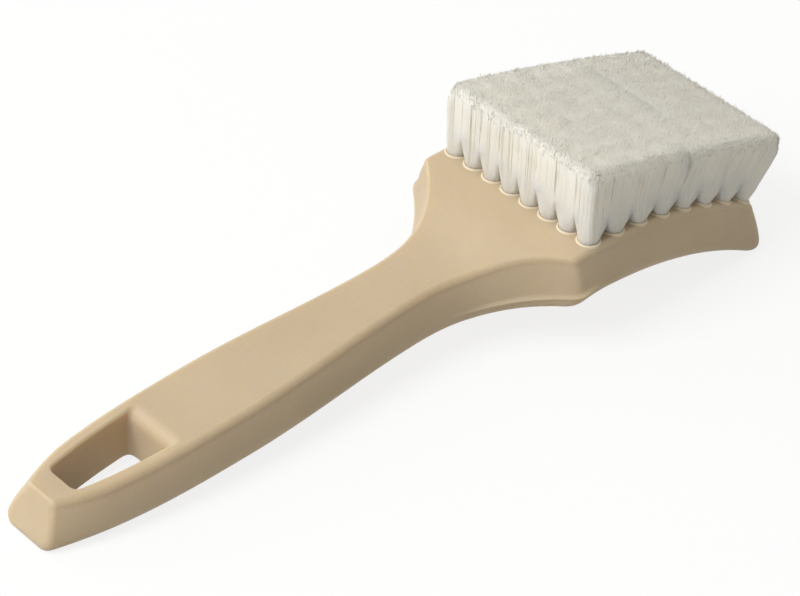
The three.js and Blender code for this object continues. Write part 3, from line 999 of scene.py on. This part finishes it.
def white_floor():
    """A pale floor that looks white where nothing shades it."""
    material = bpy.data.materials.new("pale_floor")
    nodes = Nodes(material)
    pale = nodes.add("ShaderNodeBsdfDiffuse")
    pale.inputs["Color"].default_value = (*grey(FLOOR_ALBEDO), 1)
    shaded = nodes.add("ShaderNodeBsdfDiffuse")
    shaded.inputs["Color"].default_value = (*grey(FLOOR_SHADOW_SHARE), 1)
    glow = nodes.add("ShaderNodeEmission")
    glow.inputs["Strength"].default_value = 1 - FLOOR_SHADOW_SHARE
    white = nodes.add("ShaderNodeAddShader")
    nodes.link(shaded.outputs["BSDF"], white.inputs[0])
    nodes.link(glow.outputs["Emission"], white.inputs[1])
    mix = nodes.add("ShaderNodeMixShader")
    nodes.link(seen_directly(nodes), mix.inputs["Fac"])
    nodes.link(pale.outputs["BSDF"], mix.inputs[1])
    nodes.link(white.outputs["Shader"], mix.inputs[2])
    output = nodes.add("ShaderNodeOutputMaterial")
    nodes.link(mix.outputs["Shader"], output.inputs["Surface"])
    return material


def make_floor():
    half = FLOOR_SIZE / 2 * MM
    corners = [(-half, -half, 0), (half, -half, 0), (half, half, 0), (-half, half, 0)]
    floor = new_object("floor", corners, [(0, 1, 2, 3)])
    floor.data.materials.append(white_floor())


def make_world():
    world = bpy.data.worlds.new("studio")
    nodes = Nodes(world)
    sky = nodes.add("ShaderNodeBackground")
    sky.inputs["Strength"].default_value = SKY_STRENGTH
    sky.inputs["Color"].default_value = (*SKY_COLOUR, 1)
    white = nodes.add("ShaderNodeBackground")
    white.inputs["Color"].default_value = (*grey(1), 1)
    mix = nodes.add("ShaderNodeMixShader")
    nodes.link(seen_directly(nodes), mix.inputs["Fac"])
    nodes.link(sky.outputs["Background"], mix.inputs[1])
    nodes.link(white.outputs["Background"], mix.inputs[2])
    output = nodes.add("ShaderNodeOutputWorld")
    nodes.link(mix.outputs["Shader"], output.inputs["Surface"])
    bpy.context.scene.world = world


def make_light(name, side, power, size, colour):
    """A square soft light on one side of the brush, which it faces."""
    data = bpy.data.lights.new(name, "AREA")
    data.energy = power
    data.color = colour
    data.size = size * MM
    light = bpy.data.objects.new(name, data)
    direction = Vector(side).normalized()
    light.location = direction * LIGHT_DISTANCE * MM
    light.rotation_euler = (-direction).to_track_quat("-Z", "Y").to_euler()
    bpy.context.scene.collection.objects.link(light)


def make_camera():
    data = bpy.data.cameras.new("camera")
    data.lens = CAMERA_LENS
    data.sensor_width = CAMERA_SENSOR
    camera = bpy.data.objects.new("camera", data)
    azimuth = math.radians(CAMERA_AZIMUTH)
    elevation = math.radians(CAMERA_ELEVATION)
    back = Vector((
        math.sin(azimuth) * math.cos(elevation),
        -math.cos(azimuth) * math.cos(elevation),
        math.sin(elevation),
    ))
    look = (-back).to_track_quat("-Z", "Y").to_matrix().to_4x4()
    roll = Matrix.Rotation(math.radians(CAMERA_ROLL), 4, "Z")
    place = Matrix.Translation((Vector(CAMERA_TARGET) + back * CAMERA_DISTANCE) * MM)
    camera.matrix_world = place @ look @ roll
    bpy.context.scene.collection.objects.link(camera)
    bpy.context.scene.camera = camera


# The scene

make_camera()
make_floor()
make_world()
make_light("key", KEY_FROM, KEY_POWER, KEY_SIZE, KEY_COLOUR)
make_light("rim", RIM_LIGHT_FROM, RIM_LIGHT_POWER, RIM_LIGHT_SIZE, RIM_LIGHT_COLOUR)
bpy.context.scene.view_settings.view_transform = "Standard"

plastic = moulded_plastic("moulded_plastic", PLASTIC_COLOURS, PLASTIC_GLOW)
# The rims' plastic is the block's plastic made lighter: a painted highlight where the raised rims catch
# the light
lit_rim_plastic = moulded_plastic("rim_plastic_painted_highlight", RIM_HIGHLIGHT_COLOURS, glow=0)
block = make_block(plastic, lit_rim_plastic)
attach(block, BODY)
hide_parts("handle_block")

sides = nylon_filament("nylon_filament", SIDE_COLOURS, SIDE_CLEARNESS)
tips = nylon_filament("nylon_tip", TIP_COLOURS, TIP_CLEARNESS)
rng = np.random.default_rng(SEED)
bristle_nodes = []
for first_row in range(0, TUFT_ROWS, ROWS_PER_PIECE):
    bristle_nodes.append(f"bristle_{row_names(first_row)}")
    add_bristles(make_filaments(rng, first_row, sides, tips), bristle_nodes[-1])
add_bristles(make_cores(nylon_mass()), *bristle_nodes)

steel = anchor_steel()
for name, node in frame["nodes"].items():
    if name.startswith("anchor_"):
        node.material_slots[0].material = steel
